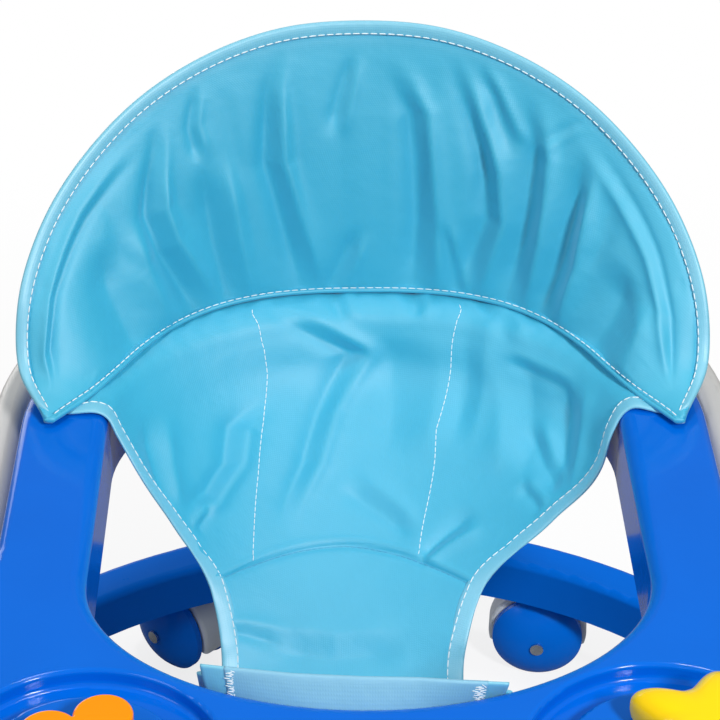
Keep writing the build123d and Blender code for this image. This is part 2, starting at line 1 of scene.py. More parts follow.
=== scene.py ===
import bpy
import numpy as np
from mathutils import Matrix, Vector


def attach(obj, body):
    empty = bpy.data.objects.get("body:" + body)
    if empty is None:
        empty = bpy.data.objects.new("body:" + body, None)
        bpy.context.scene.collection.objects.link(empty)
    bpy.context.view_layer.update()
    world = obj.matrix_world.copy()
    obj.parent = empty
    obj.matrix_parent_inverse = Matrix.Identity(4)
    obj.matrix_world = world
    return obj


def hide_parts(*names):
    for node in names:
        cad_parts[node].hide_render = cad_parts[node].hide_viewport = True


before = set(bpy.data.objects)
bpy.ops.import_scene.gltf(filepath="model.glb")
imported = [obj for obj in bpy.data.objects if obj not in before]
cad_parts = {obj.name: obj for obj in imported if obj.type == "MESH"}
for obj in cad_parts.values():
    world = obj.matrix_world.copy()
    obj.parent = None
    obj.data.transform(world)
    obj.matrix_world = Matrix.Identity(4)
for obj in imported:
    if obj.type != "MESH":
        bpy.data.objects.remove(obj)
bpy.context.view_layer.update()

# Lengths below are in millimetres; a mesh gets them in metres
MM = 0.001

# Backrest pad, right half, from the middle of the back to the corner on the arm
pad_seam = [(0, 206, 363), (30, 205, 363), (59.5, 199.5, 363), (87, 187, 363), (110, 169, 362),
            (128, 143.5, 362), (142, 118, 361), (157, 91, 360), (174, 65, 360)]
pad_edge = [(0, 228, 528), (45, 224, 525.5), (87, 213, 514.5), (124.5, 196, 496.5), (155, 173.5, 472.5),
            (177.5, 148, 445), (191, 121.5, 412), (192.5, 101, 376), (177, 68, 364)]
pad_foot = [(0, 222, 359), (36.6, 218.9, 359), (71.6, 209.7, 359), (103.4, 194.9, 359), (130.8, 175, 359),
            (152.4, 151, 359), (167.4, 123.9, 359), (175, 94.8, 359), (177, 68, 359.5)]
# Bulge of its front and of its back, from the middle to the corner
pad_crown = [9, 9, 9.5, 10, 11, 12, 12, 8, 2]
pad_back_swell = [3, 3, 3.5, 4, 6, 9, 11, 7, 1]
# Tape over its top edge: size, how far its middle and its stitches lie below the edge, how far out the
# stitches lie as a share of the half thickness, and the share of the edge that it covers
pad_tape_width = 8.5
pad_tape_half = 1.9
pad_tape_place = 3.2
pad_stitch_place = 6.2
pad_stitch_out = 0.98
pad_corner_limit = 0.985
# The front is flat in a border under the tape, which narrows where the pad is lower than the least height
pad_flat_border = 8
pad_least_height = 40
# The left end sits further back than the right end, by pad_left_back*s^pad_left_power towards the corner
pad_left_back = 6
pad_left_power = 5
# A point in the middle of the seat, which the pad's front faces
seat_middle = (0, 80, 480)
# Points of the pad's grid: along it, up its front, down its back and under its foot
pad_along_count = 301
pad_front_count = 67
pad_back_count = 37
pad_under_count = 7
# Stuffing: share of the crown that is cut in, pressure on the cloth, the furthest that it may move, the
# frames it runs for, and how many points of the grid along and round make one of the cloth's
pad_cut_share = 0.55
pad_pressure = 4
pad_move_limit = 8
pad_frames = 20
pad_coarse_along = 3
pad_coarse_round = 2

# Piping between pad and seat
piping_lift = 1.2
piping_half_width = 3
piping_half_height = 1.6
piping_stitch_lift = 2.9
piping_stitch_inward = 2.2

# Seat sling: half ovals (height, centre y, left x, right x, depth, power) from the ring down to the
# seat, where y is centre y + depth*cos(turn)^power
sling_levels = [(359.4, 84, -150.5, 152, 114, 1), (355.6, 84, -143, 145, 106.4, 1),
                (346, 80, -137.5, 139, 105.2, 1), (328, 72, -127, 133, 107, 1),
                (296, 65, -108, 106, 77, 1.4), (262, 52, -87, 68, 40, 2), (238, 30, -80, 56, 18, 2)]
# Crotch strip: (y, z, left x, right x) from the seat to the front
strip_rows = [(16, 217.5, -79, 53), (-10, 211, -79, 53), (-38, 217, -79, 54), (-76, 249, -79, 58),
              (-114, 302, -80, 62)]
# Its edges turn up by strip_edge_lift*sin(turn)^4
strip_edge_lift = 5
# Share of the pad's seam that the sling is sewn to, and how far it lies under that seam
sling_side = 0.93
sling_drop = 1.5
sling_across_count = 171
sling_down_count = 261
cloth_thickness = 1.6
# Share of the thickness at which the sewn lines lie, just over the upper face
sewn_out = 0.55
# Tape along the leg openings: size, where its middle and its stitches lie as shares of its width, and
# how far out the stitches lie as a share of its half thickness
edge_tape_width = 11
edge_tape_half = 1.3
edge_tape_middle = 0.3
edge_tape_stitch = 0.62
edge_stitch_out = 0.95
# Columns of the sling's grid over which the tape's direction is taken
edge_tape_columns = 6

# Front hem flap: (x, y) of its top edge, and the oval of the tray's lip that it hangs inside
hem_line = [(-82, -139.3), (-37.6, -146.6), (-5, -149.3), (22.5, -150.5), (41, -153), (64.5, -155.5)]
hem_top_z = 362
hem_low_z = 342
# The sling ends this far behind and below the hem's top edge
hem_sling_back = 4
hem_sling_drop = 9
# The low edge is this share of the top one's width, shifted to the left
hem_low_share = 0.96
hem_low_shift = 0.3
hem_count = 91
lip_centre_y = -59
lip_half_x = 139
lip_depth = 99.5
# Flap and tabs: first and last point of the hem, and half thickness
flap_span = (7, 85, 1.5)
left_tab_span = (0, 11, 1.1)
right_tab_span = (81, 91, 1.1)
# Zigzag tacks: point of the hem for each, number of turns, sway to each side, shares of the flap's height
# where they start and end, and how far they lie out from its middle
left_tack = 9
right_tack = 82
tack_count = 23
tack_sway = 2.2
tack_start, tack_end = 0.06, 0.8
tack_out = 1.5

# Toys
star_centre = (152, -197)
star_foot_z = 359
star_height = 20
star_reach = 39.5
star_waist = 24.5
star_turn = 73.5
star_around_count = 120
# Rim below the crown: (share of the reach, share of the height)
star_rim = [(1.0, 0.3), (0.985, 0.14), (0.95, 0.04), (0.9, 0.0)]

# Sewing: stitch every pitch, with its length and half width
wide_stitch = (5, 4.3, 0.36)
fine_stitch = (3.8, 3.4, 0.27)
# Points of a stitch along and round it, and its height as a share of its width
stitch_along_count = 7
stitch_round_count = 6
stitch_flatness = 0.8


def linear(code):
    """An sRGB hex colour as linear RGBA: c/12.92 below 0.04045, else ((c + 0.055)/1.055)^2.4."""
    parts = np.array([int(code[i:i + 2], 16) for i in (1, 3, 5)]) / 255
    bent = np.where(parts <= 0.04045, parts / 12.92, ((parts + 0.055) / 1.055) ** 2.4)
    return (*bent.tolist(), 1.0)


def add(tree, kind, settings=None, inputs=None):
    """Adds a node; an input is a value, or a (node, output name) pair that is linked."""
    made = tree.nodes.new(kind)
    for key, value in (settings or {}).items():
        setattr(made, key, value)
    for key, value in (inputs or {}).items():
        if isinstance(value, tuple) and isinstance(value[0], bpy.types.Node):
            tree.links.new(value[0].outputs[value[1]], made.inputs[key])
        else:
            made.inputs[key].default_value = value
    return made


def new_material(name, values):
    """A material whose Principled shader has these constant values."""
    made = bpy.data.materials.new(name)
    made.use_nodes = True
    shader = made.node_tree.nodes["Principled BSDF"]
    for key, value in values.items():
        shader.inputs[key].default_value = value
    return made, made.node_tree, shader


def through(knots, points, t):
    """A smooth line through points at knots: cubic Hermite spans, slopes by central differences."""
    slopes = np.gradient(points, knots, axis=0)
    span = np.clip(np.searchsorted(knots, t, side="right") - 1, 0, len(knots) - 2)
    step = (knots[span + 1] - knots[span])[:, None]
    w = (t - knots[span])[:, None] / step
    start = points[span] * (1 + 2 * w) * (1 - w) ** 2 + slopes[span] * step * w * (1 - w) ** 2
    return start + points[span + 1] * w * w * (3 - 2 * w) + slopes[span + 1] * step * w * w * (w - 1)


def both_sides(half, s):
    """A line given for x >= 0, mirrored in x and read at s from -1, left end, to 1, right end."""
    half = np.array(half, float)
    left = half[:0:-1] * (-1, 1, 1)
    knots = np.linspace(-1, 1, 2 * len(half) - 1)
    return through(knots, np.vstack([left, half]), s)


def even(values, s):
    """A number given from the middle to the end, the same on both sides, read at s."""
    return np.interp(np.abs(s), np.linspace(0, 1, len(values)), values)


def unit(vectors):
    """Vectors over their lengths."""
    return vectors / np.maximum(np.linalg.norm(vectors, axis=-1, keepdims=True), 1e-9)


def lengths(points, axis):
    """Length along the grid's lines from their starts: summed distances between neighbours."""
    steps = np.linalg.norm(np.diff(points, axis=axis), axis=-1)
    start = np.zeros_like(np.take(steps, [0], axis=axis))
    return np.concatenate([start, np.cumsum(steps, axis=axis)], axis=axis)


def grid_normals(points):
    """Unit normals of a grid: the cross product of its two central differences."""
    return unit(np.cross(np.gradient(points, axis=1), np.gradient(points, axis=0)))


def surface(name, points, wrap=False, caps=False, uv=None):
    """Quads over a grid (rows, columns, xyz). wrap joins the last column to the first, and caps
    closes the first and last rows with fans about their middles. uv is (rows, columns, 2) in mm."""
    rows, columns = points.shape[:2]
    index = np.arange(rows * columns).reshape(rows, columns)
    if wrap:
        index = np.concatenate([index, index[:, :1]], axis=1)
    quads = np.stack([index[:-1, :-1], index[:-1, 1:], index[1:, 1:], index[1:, :-1]], axis=-1)
    faces = quads.reshape(-1, 4).tolist()
    places = points.reshape(-1, 3)
    if caps:
        places = np.vstack([places, points[0].mean(axis=0), points[-1].mean(axis=0)])
        first = np.full(index.shape[1] - 1, rows * columns)
        faces += np.stack([index[0, 1:], index[0, :-1], first], axis=-1).tolist()
        faces += np.stack([index[-1, :-1], index[-1, 1:], first + 1], axis=-1).tolist()
    mesh = bpy.data.meshes.new(name)
    mesh.from_pydata((places * MM).tolist(), [], faces)
    mesh.shade_smooth()
    if uv is not None:
        flat = uv.reshape(-1, 2) * MM
        if caps:
            flat = np.vstack([flat, flat[:columns].mean(axis=0), flat[-columns:].mean(axis=0)])
        corners = np.empty(len(mesh.loops), int)
        mesh.loops.foreach_get("vertex_index", corners)
        layer = mesh.uv_layers.new(name="cloth")
        layer.data.foreach_set("uv", flat[corners].ravel())
    made = bpy.data.objects.new(name, mesh)
    bpy.context.collection.objects.link(made)
    return made


def swept(name, path, across, out, half_across, half_out, around=16, square=0.75):
    """A flattened round carried along a path: at angle a the section is at across*half_across*c +
    out*half_out*s, where c and s are cos a and sin a with their sizes raised to the power square."""
    a = np.linspace(0, 2 * np.pi, around, endpoint=False)
    c = np.sign(np.cos(a)) * np.abs(np.cos(a)) ** square
    s = np.sign(np.sin(a)) * np.abs(np.sin(a)) ** square
    wide = across[:, None] * np.asarray(half_across).reshape(-1, 1, 1) * c[:, None]
    thick = out[:, None] * np.asarray(half_out).reshape(-1, 1, 1) * s[:, None]
    points = path[:, None] + wide + thick
    run = np.broadcast_to(lengths(path[:, None], 0), points.shape[:2])
    turn = np.broadcast_to(a * float(np.max(half_across)), points.shape[:2])
    return surface(name, points, wrap=True, caps=True, uv=np.stack([turn, run], axis=-1))


def outward(obj):
    """Turns a closed piece's faces outwards where its grid ran the other way."""
    mesh = obj.data
    corners = np.empty(len(mesh.vertices) * 3)
    mesh.vertices.foreach_get("co", corners)
    corners = corners.reshape(-1, 3)
    mesh.calc_loop_triangles()
    tri = np.empty(len(mesh.loop_triangles) * 3, int)
    mesh.loop_triangles.foreach_get("vertices", tri)
    a, b, c = (corners[tri.reshape(-1, 3)[:, i]] for i in range(3))
    if np.einsum("ij,ij->i", a, np.cross(b, c)).sum() < 0:
        mesh.flip_normals()
    return obj


def stitches(name, path, out, size=wide_stitch):
    """Stitches along a path, one at every pitch, each turned along the path: ovals whose girth falls by
    (1.02 - t^4)^0.5 from their middle, t = 0, to their ends."""
    pitch, length, half_width = size
    run = lengths(path[:, None], 0)[:, 0]
    middle = np.arange(pitch, run[-1] - pitch / 2, pitch)
    at = np.stack([np.interp(middle, run, path[:, i]) for i in range(3)], axis=-1)
    ahead = np.stack([np.interp(middle + 1, run, path[:, i]) for i in range(3)], axis=-1)
    up = unit(np.stack([np.interp(middle, run, out[:, i]) for i in range(3)], axis=-1))
    along = unit(ahead - at)
    side = unit(np.cross(up, along))
    t, a = np.meshgrid(np.linspace(-1, 1, stitch_along_count),
                       np.linspace(0, 2 * np.pi, stitch_round_count, endpoint=False), indexing="ij")
    girth = np.sqrt(np.clip(1.02 - t ** 4, 0.02, 1))
    grid = (at[:, None, None] + along[:, None, None] * (t * length / 2)[..., None]
            + side[:, None, None] * (girth * np.cos(a) * half_width)[..., None]
            + up[:, None, None] * (girth * np.sin(a) * half_width * stitch_flatness)[..., None])
    count, rows, columns = grid.shape[:3]
    index = np.arange(rows * columns).reshape(rows, columns)
    index = np.concatenate([index, index[:, :1]], axis=1)
    quads = np.stack([index[:-1, :-1], index[:-1, 1:], index[1:, 1:], index[1:, :-1]], axis=-1)
    ends = [index[0, :-1][::-1].tolist(), index[-1, :-1].tolist()]
    offsets = np.arange(count)[:, None, None] * rows * columns
    faces = (quads.reshape(1, -1, 4) + offsets).reshape(-1, 4).tolist()
    faces += (np.array(ends)[None] + offsets).reshape(-1, columns).tolist()
    mesh = bpy.data.meshes.new(name)
    mesh.from_pydata((grid.reshape(-1, 3) * MM).tolist(), [], faces)
    mesh.shade_smooth()
    made = bpy.data.objects.new(name, mesh)
    bpy.context.collection.objects.link(made)
    return outward(made)


def dress(obj, cloth, body="tray"):
    """Gives a piece its material and the body it rides on."""
    obj.data.materials.clear()
    obj.data.materials.append(cloth)
    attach(obj, body)
    return obj


def moulded_plastic(name, colour, shade, roughness, peel_mm, peel, shine=0.3):
    """Injection-moulded plastic: a smooth skin with a faint orange peel, slight flow mottling in the
    colour, and a roughness that wanders where hands and cloths have been."""
    made, tree, shader = new_material(name, {"IOR": 1.53, "Specular IOR Level": shine})
    place = add(tree, "ShaderNodeTexCoord")
    # 60 mm flow clouds between two close tones
    flow = add(tree, "ShaderNodeTexNoise", None,
               {"Vector": (place, "Object"), "Scale": 1 / 0.06, "Detail": 3.0})
    tone = add(tree, "ShaderNodeMix", {"data_type": "RGBA"}, {"Factor": (flow, "Fac")})
    tone.inputs["A"].default_value = linear(colour)
    tone.inputs["B"].default_value = linear(shade)
    tree.links.new(tone.outputs["Result"], shader.inputs["Base Color"])
    # 9 mm smears in the gloss
    smear = add(tree, "ShaderNodeTexNoise", None,
                {"Vector": (place, "Object"), "Scale": 1 / 0.009, "Detail": 4.0})
    gloss = add(tree, "ShaderNodeMapRange", None,
                {"Value": (smear, "Fac"), "To Min": roughness * 0.8, "To Max": roughness * 1.25})
    tree.links.new(gloss.outputs["Result"], shader.inputs["Roughness"])
    # orange peel, peel_mm from dimple to dimple
    skin = add(tree, "ShaderNodeTexNoise", None,
               {"Vector": (place, "Object"), "Scale": 1 / (peel_mm * MM), "Detail": 2.0})
    bump = add(tree, "ShaderNodeBump", None,
               {"Height": (skin, "Fac"), "Strength": peel, "Distance": 0.0004})
    tree.links.new(bump.outputs["Normal"], shader.inputs["Normal"])
    return made


def satin_nylon(name, colour, shade, roughness=0.6, sheen=0.25):
    """Coated satin nylon: fine weave with a soft broad gloss and a pale bloom at grazing angles.
    The real 0.4 mm threads are too fine to show, so the weave is drawn 1.3 mm apart."""
    made, tree, shader = new_material(name, {
        "Roughness": roughness, "IOR": 1.6, "Specular IOR Level": 1.0,
        "Sheen Weight": sheen, "Sheen Roughness": 0.4, "Sheen Tint": linear("#dff3ff")})
    place = add(tree, "ShaderNodeTexCoord")
    # a wave's band repeats every 0.314/scale metres
    thread = 0.31416 / 0.0013
    warp = add(tree, "ShaderNodeTexWave", {"bands_direction": "X"},
               {"Vector": (place, "UV"), "Scale": thread})
    weft = add(tree, "ShaderNodeTexWave", {"bands_direction": "Y"},
               {"Vector": (place, "UV"), "Scale": thread})
    weave = add(tree, "ShaderNodeMath", {"operation": "MULTIPLY"}, {0: (warp, "Fac"), 1: (weft, "Fac")})
    # 45 mm clouds of dye, and 22 mm puckers of the coating
    cloud = add(tree, "ShaderNodeTexNoise", None,
                {"Vector": (place, "Object"), "Scale": 1 / 0.045, "Detail": 4.0})
    tone = add(tree, "ShaderNodeMix", {"data_type": "RGBA"}, {"Factor": (cloud, "Fac")})
    tone.inputs["A"].default_value = linear(colour)
    tone.inputs["B"].default_value = linear(shade)
    tree.links.new(tone.outputs["Result"], shader.inputs["Base Color"])
    pucker = add(tree, "ShaderNodeTexNoise", None,
                 {"Vector": (place, "Object"), "Scale": 1 / 0.022, "Detail": 3.0})
    soft = add(tree, "ShaderNodeBump", None,
               {"Height": (pucker, "Fac"), "Strength": 0.35, "Distance": 0.0022})
    fine = add(tree, "ShaderNodeBump", None,
               {"Height": (weave, "Value"), "Strength": 0.16, "Distance": 0.0003,
                "Normal": (soft, "Normal")})
    tree.links.new(fine.outputs["Normal"], shader.inputs["Normal"])
    return made


def sewing_thread(name, colour):
    """Twisted polyester thread: matt, with a fine twist drawn 0.9 mm apart so that it shows."""
    made, tree, shader = new_material(name, {
        "Base Color": linear(colour), "Roughness": 0.6, "Sheen Weight": 0.2})
    place = add(tree, "ShaderNodeTexCoord")
    twist = add(tree, "ShaderNodeTexNoise", None, {"Vector": (place, "Object"), "Scale": 1 / 0.0009})
    bump = add(tree, "ShaderNodeBump", None,
               {"Height": (twist, "Fac"), "Strength": 0.3, "Distance": 0.0002})
    tree.links.new(bump.outputs["Normal"], shader.inputs["Normal"])
    return made


def plated_steel(name):
    """Zinc-plated steel: a bright grey metal with a slight cloudiness from the plating."""
    made, tree, shader = new_material(name, {"Metallic": 1.0, "Base Color": linear("#ccd0d2")})
    place = add(tree, "ShaderNodeTexCoord")
    # 4 mm clouds in the plating
    cloud = add(tree, "ShaderNodeTexNoise", None,
                {"Vector": (place, "Object"), "Scale": 1 / 0.004, "Detail": 4.0})
    gloss = add(tree, "ShaderNodeMapRange", None, {"Value": (cloud, "Fac"), "To Min": 0.2, "To Max": 0.36})
    tree.links.new(gloss.outputs["Result"], shader.inputs["Roughness"])
    return made


# Finishes: a plastic has two tones, roughness, size and strength of its orange peel, and shine; a cloth
# has two tones, roughness and sheen
tray_blue = moulded_plastic("ABS moulded gloss blue", "#0168d6", "#0060ca", 0.1, 5.0, 0.05, 0.22)
base_blue = moulded_plastic("polypropylene moulded blue", "#0172e6", "#006ada", 0.3, 2.5, 0.1, 0.06)
wheel_blue = moulded_plastic("polypropylene moulded dark blue", "#0278f0", "#0070e2", 0.22, 2.5, 0.08, 0.1)
hood_grey = moulded_plastic("polypropylene moulded pale grey", "#e2e8ea", "#d8dee0", 0.34, 2.0, 0.12)
leg_grey = moulded_plastic("ABS moulded mid grey", "#aeb4ba", "#a4aab0", 0.36, 2.0, 0.12)
bar_grey = moulded_plastic("polypropylene moulded warm grey", "#cccbc8", "#c4c3c0", 0.3, 3.0, 0.1)
petal_orange = moulded_plastic("ABS moulded orange", "#ff9400", "#fa8c00", 0.14, 4.0, 0.06, 0.25)
star_yellow = moulded_plastic("polyethylene blown yellow", "#ffd800", "#fbd000", 0.08, 6.0, 0.05, 0.4)
pad_rubber = moulded_plastic("rubber moulded dark grey", "#3a3d40", "#333639", 0.7, 1.2, 0.3)
axle_steel = plated_steel("steel zinc plated")
seat_blue = satin_nylon("nylon satin coated sky blue", "#28b1d3", "#1ca9cb", 0.6, 0.35)
tape_blue = satin_nylon("nylon tape pale blue", "#74c4dc", "#68bcd6", 0.5, 0.35)
hem_blue = satin_nylon("nylon lining pale blue", "#7cbcd6", "#6cb0ce", 0.6, 0.3)
white_thread = sewing_thread("polyester thread white", "#e8f2f4")
blue_thread = sewing_thread("polyester thread sky blue", "#4aa8cc")


def node_finish(name):
    """The finish of a CAD node, by what it is."""
    for word, made in (("base_ring", base_blue), ("tray_shell", tray_blue), ("push_bar_bolts", axle_steel),
                       ("push_bar", bar_grey), ("caster_hood", hood_grey), ("caster_axle", axle_steel),
                       ("caster_wheels", wheel_blue), ("stop_pads", pad_rubber), ("screws", axle_steel),
                       ("toy_spindles", leg_grey), ("flower", petal_orange), ("star", star_yellow),
                       ("seat", seat_blue), ("backrest", seat_blue)):
        if word in name:
            return made
    return leg_grey


for name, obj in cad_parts.items():
    obj.data.materials.clear()
    obj.data.materials.append(node_finish(name))

# Shape of a crease: share of its length that fades in at each end, and its ridge's height as a share of
# the depth, place and width as shares of the width
crease_fade = 0.3
crease_ridge = 0.75
crease_ridge_place = 1.7
crease_ridge_width = 0.8


def folded(creases, across, up):
    """Folds over a sheet's flat coordinates in mm. Each crease is a line of (across, up) points with
    its width at the start and at the end, and a depth. Beside the nearest stretch, at signed distance
    d, the cloth sinks by depth*exp(-|d/width|^1.5) and rises in a ridge of the same form to the right
    of the line; both fade at the ends by sin^2. A depth below zero makes the valley a ridge."""
    across, up = np.broadcast_arrays(across, up)
    total = np.zeros(across.shape)
    for line, start_width, end_width, depth in creases:
        line = np.array(line, float)
        size = lengths(line[:, None], 0)[:, 0]
        near = np.full(across.shape, np.inf)
        signed = np.zeros(across.shape)
        share = np.zeros(across.shape)
        for (x0, y0), (x1, y1), start in zip(line[:-1], line[1:], size[:-1]):
            span = np.hypot(x1 - x0, y1 - y0)
            along = np.clip(((across - x0) * (x1 - x0) + (up - y0) * (y1 - y0)) / span ** 2, 0, 1)
            off_x, off_y = across - x0 - along * (x1 - x0), up - y0 - along * (y1 - y0)
            gap = np.hypot(off_x, off_y)
            closer = gap < near
            near = np.where(closer, gap, near)
            side = np.sign(off_x * (y1 - y0) - off_y * (x1 - x0))
            signed = np.where(closer, gap * side, signed)
            share = np.where(closer, (start + along * span) / size[-1], share)
        width = start_width + (end_width - start_width) * share
        fade = np.sin(np.pi / 2 * np.clip(np.minimum(share, 1 - share) / crease_fade, 0, 1)) ** 2
        valley = np.exp(-np.abs(signed / width) ** 1.5)
        beside = (signed - crease_ridge_place * width) / (crease_ridge_width * width)
        ridge = crease_ridge * np.exp(-np.abs(beside) ** 1.5)
        total += depth * fade * (ridge - valley)
    return total


# Creases of the pad: (mm along the edge from the middle, mm up from the seam), widths, depth. The gains
# multiply the depths on the front and on the back
pad_half_run = 300
pad_height = 160
pad_crease_gain = 1.35
pad_back_gain = 0.6
pad_creases = [
    ([(-120, -25), (-130, 15), (-138, 60), (-135, 90), (-108, 145)], 12.5, 3.9, 5.5),
    ([(-95, 100), (-94, 125), (-84, 148)], 4, 2, 2.4),
    ([(-102, -20), (-99, 45), (-92, 105)], 12.5, 7.8, 5),
    ([(-40, -25), (-50, 38), (-56, 85), (-48, 128), (-38, 155)], 11.2, 3.2, 5),
    ([(-18, 95), (-3, 145)], 5, 2.5, 2.4),
    ([(-30, -10), (0, 42)], 8.8, 3.9, 3.1),
    ([(-195, -20), (-183, 60), (-170, 110)], 22.5, 15.6, 5.5),
    ([(-275, 70), (-250, 108), (-218, 127), (-172, 137), (-115, 140)], 7, 5, -2.6),
    ([(40, -25), (36, 45), (27, 108), (10, 142)], 12.5, 4.5, 5.5),
    ([(70, -20), (81, 55), (74, 84), (42, 150)], 11.2, 3.2, 5),
    ([(90, 100), (58, 148)], 6.2, 2.6, 2.9),
    ([(110, -20), (107, 53), (99, 108), (85, 145)], 12.5, 5.2, 6.1),
    ([(140, -25), (138, 55), (126, 136)], 13.8, 5.2, 6.1),
    ([(76, -10), (52, 52)], 5, 3, 2.4),
    ([(100, 115), (120, 150)], 2.5, 2, 1.2),
    ([(265, 55), (220, 99), (191, 114), (115, 135)], 7, 5, -2.6),
    ([(198, -20), (194, 40), (185, 95)], 25, 15.6, 5.5)]

# Backrest pad: sections between the seam, the top edge and the foot behind
s_pad = np.linspace(-1, 1, pad_along_count)
seam = both_sides(pad_seam, s_pad)
edge = both_sides(pad_edge, s_pad)
foot = both_sides(pad_foot, s_pad)
for line in (seam, edge, foot):
    line[:, 1] += pad_left_back * np.clip(-s_pad, 0, 1) ** pad_left_power
along = unit(np.gradient(edge + seam, axis=0))
rise = unit(edge - seam)
inward = unit(np.cross(rise, along))
inward = inward * np.sign(np.sum(inward * (np.array(seat_middle) - edge), axis=-1, keepdims=True))


def pad_front(w):
    """Front of the pad as it is cut: straight from seam to edge, bulging inwards by
    crown*(4w(1-w))^0.6 up to the flat border under the tape."""
    w = np.asarray(w)[None, :, None]
    tall = np.linalg.norm(edge - seam, axis=-1)[:, None, None]
    inside = np.clip(w / (1 - pad_flat_border / np.maximum(tall, pad_least_height)), 0, 1)
    hump = np.clip(4 * inside * (1 - inside), 0, 1) ** 0.6
    bulge = even(pad_crown, s_pad)[:, None, None] * pad_cut_share * hump
    return seam[:, None] + (edge - seam)[:, None] * w + inward[:, None] * bulge, hump


def pad_back(w):
    """Back of the pad: from the edge down to the foot, bulging outwards by swell*(4w(1-w))^0.7."""
    w = np.asarray(w)[None, :, None]
    swell = even(pad_back_swell, s_pad)[:, None, None] * np.clip(4 * w * (1 - w), 0, 1) ** 0.7
    return edge[:, None] + (foot - edge)[:, None] * w - inward[:, None] * swell


def stuffed(grid, rows, columns, sewn):
    """How far each point of a closed pad moves when it is stuffed: Blender's cloth under pressure on
    every few rows and columns of the grid, held at the sewn columns and at both end rows, with each
    move cut to the limit and drawn smoothly back over the full grid."""
    coarse = grid[::rows, ::columns]
    blank = surface("pad_blank", coarse, wrap=True, caps=True)
    place = np.arange(coarse.shape[0] * coarse.shape[1]).reshape(coarse.shape[:2])
    held = np.concatenate([place[:, sewn[::columns]].ravel(), place[[0, -1]].ravel()])
    ends = [place.size, place.size + 1]
    blank.vertex_groups.new(name="sewn").add(held.tolist() + ends, 1.0, "REPLACE")
    outward(blank)
    cloth = blank.modifiers.new("stuffing", "CLOTH")
    cloth.settings.vertex_group_mass = "sewn"
    cloth.settings.use_pressure = True
    cloth.settings.uniform_pressure_force = pad_pressure
    cloth.settings.effector_weights.gravity = 0
    for step in range(pad_frames):
        bpy.context.scene.frame_set(step + 1)
    result = blank.evaluated_get(bpy.context.evaluated_depsgraph_get()).to_mesh()
    places = np.empty(len(result.vertices) * 3)
    result.vertices.foreach_get("co", places)
    move = places.reshape(-1, 3)[:place.size].reshape(coarse.shape) / MM - coarse
    size = np.linalg.norm(move, axis=-1, keepdims=True)
    move = move * np.minimum(1, pad_move_limit / np.maximum(size, 1e-9))
    bpy.context.scene.frame_set(1)
    bpy.data.objects.remove(blank)
    move = np.concatenate([move, move[:, :1]], axis=1)
    every_row = np.arange(grid.shape[0])
    every_column = np.arange(grid.shape[1])
    kept_rows = every_row[::rows]
    kept_columns = np.arange(0, grid.shape[1] + 1, columns)
    move = through(kept_rows, move.reshape(len(kept_rows), -1), every_row)
    turned = move.reshape(len(every_row), -1, 3).transpose(1, 0, 2)
    turned = through(kept_columns, turned.reshape(len(kept_columns), -1), every_column)
    return turned.reshape(len(every_column), len(every_row), 3).transpose(1, 0, 2)


w_front = np.linspace(0, 1, pad_front_count)
front_grid, front_hump = pad_front(w_front)
w_back = np.linspace(0, 1, pad_back_count)[1:]
w_under = np.linspace(0, 1, pad_under_count)[1:-1]
under_grid = foot[:, None] + (seam - foot)[:, None] * w_under[:, None]
pad_grid = np.concatenate([front_grid, pad_back(w_back), under_grid], axis=1)
# Sewn: the seam, four columns to each side of the top edge, and from just above the foot on
back_end = len(w_front) + len(w_back)
sewn_columns = np.zeros(pad_grid.shape[1], bool)
sewn_columns[:2] = True
sewn_columns[len(w_front) - 4:len(w_front) + 4] = True
sewn_columns[back_end - 2:] = True
pad_grid = pad_grid + stuffed(pad_grid, pad_coarse_along, pad_coarse_round, sewn_columns)
run_along = s_pad[:, None] * pad_half_run
creases = pad_crease_gain * folded(pad_creases, run_along, w_front[None] * pad_height)
pad_grid[:, :len(w_front)] += inward[:, None] * creases[..., None] * np.sqrt(front_hump)
# The back shows the same creases mirrored and shallower
creases = pad_back_gain * folded(pad_creases, -run_along, (1 - w_back[None]) * pad_height)
back_fade = np.sqrt(4 * w_back * (1 - w_back))
pad_grid[:, len(w_front):back_end] -= inward[:, None] * (creases * back_fade)[..., None]
pad_uv = np.stack([lengths(pad_grid, 0), lengths(pad_grid, 1)], axis=-1)
pad = outward(surface("backrest_pad", pad_grid, wrap=True, caps=True, uv=pad_uv))
dress(pad, seat_blue)
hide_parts("backrest_cushion", "backrest_board")

# Tape bound over the pad's top edge, and the stitches along its inner border
inner = np.abs(s_pad) <= pad_corner_limit
tape_path = (edge - rise * pad_tape_place)[inner]
pad_tape = swept("pad_edge_tape", tape_path, rise[inner], inward[inner], pad_tape_width / 2, pad_tape_half)
dress(outward(pad_tape), tape_blue)
stitch_path = (edge - rise * pad_stitch_place + inward * pad_tape_half * pad_stitch_out)[inner]
dress(stitches("pad_edge_stitches", stitch_path, inward[inner]), white_thread)

# Folded piping between pad and seat
upright = np.broadcast_to((0.0, 0.0, 1.0), seam.shape)
piping = swept("seat_piping", seam + (0, 0, piping_lift), unit(np.cross(along, upright)), upright,
               piping_half_width, piping_half_height)
dress(outward(piping), seat_blue)
stitch_path = seam + (0, 0, piping_stitch_lift) + inward * piping_stitch_inward
dress(stitches("seat_piping_stitches", stitch_path, upright), white_thread)

# Seat sling and crotch strip, one sheet from the seam on the ring to the hem at the front
u_sling = np.linspace(-1, 1, sling_across_count)
turn = u_sling * np.pi / 2
middle = sling_across_count // 2


def spread(left_x, right_x):
    """x over a row of the sling, from its left to its right end by the sine of the turn."""
    return (left_x + right_x) / 2 + (right_x - left_x) / 2 * np.sin(turn)


